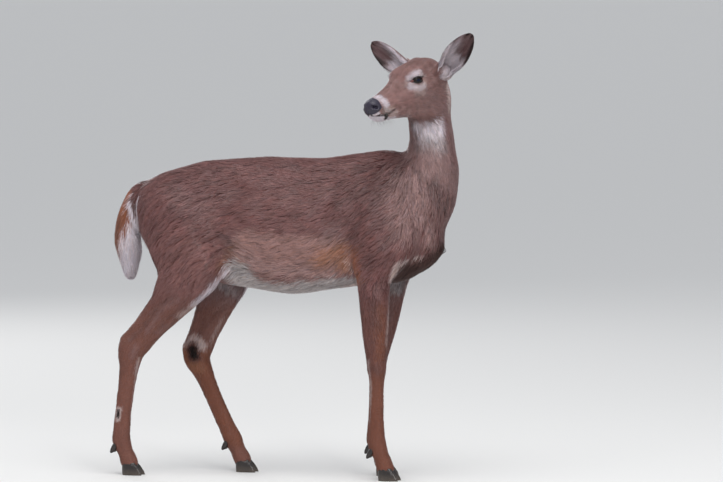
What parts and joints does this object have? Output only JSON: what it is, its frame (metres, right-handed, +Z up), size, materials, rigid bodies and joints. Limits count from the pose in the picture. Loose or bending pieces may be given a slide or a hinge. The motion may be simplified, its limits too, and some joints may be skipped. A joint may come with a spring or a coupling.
{
  "type": "white-tailed deer doe, still display model",
  "caption": "Life-size white-tailed deer doe, standing with her head turned back over her right side.",
  "frame": {"origin": "middle of the box round the whole deer, on the floor that the hooves stand on", "axes": "+X along the back towards the chest, +Y to the doe's left, +Z up"},
  "size_m": [1.062, 0.3866, 1.2321],
  "materials": {
    "coat": "grey-brown summer-to-autumn coat, paler on the flanks, white on belly, throat and inner legs",
    "tail": "rufous coat with long white fringe",
    "ear": "short grey-brown coat outside, long white hair in the hollow",
    "horn": "dark horn, half matt",
    "eye": "wet, nearly black brown"
  },
  "bodies": {
    "root": {"dewclaw_fore_left_inner": "horn", "dewclaw_fore_left_outer": "horn", "dewclaw_fore_right_inner": "horn", "dewclaw_fore_right_outer": "horn", "dewclaw_hind_left_inner": "horn", "dewclaw_hind_left_outer": "horn", "dewclaw_hind_right_inner": "horn", "dewclaw_hind_right_outer": "horn", "ear_left": "ear", "ear_right": "ear", "eye_left": "eye", "eye_right": "eye", "foreleg_cannon_left": "coat", "foreleg_cannon_right": "coat", "foreleg_pastern_left": "coat", "foreleg_pastern_right": "coat", "foreleg_upper_left": "coat", "foreleg_upper_right": "coat", "head": "coat", "hindleg_cannon_left": "coat", "hindleg_cannon_right": "coat", "hindleg_pastern_left": "coat", "hindleg_pastern_right": "coat", "hindleg_upper_left": "coat", "hindleg_upper_right": "coat", "hoof_fore_left_inner": "horn", "hoof_fore_left_outer": "horn", "hoof_fore_right_inner": "horn", "hoof_fore_right_outer": "horn", "hoof_hind_left_inner": "horn", "hoof_hind_left_outer": "horn", "hoof_hind_right_inner": "horn", "hoof_hind_right_outer": "horn", "neck": "coat", "tail": "tail", "trunk": "coat"}
  },
  "joints": []
}
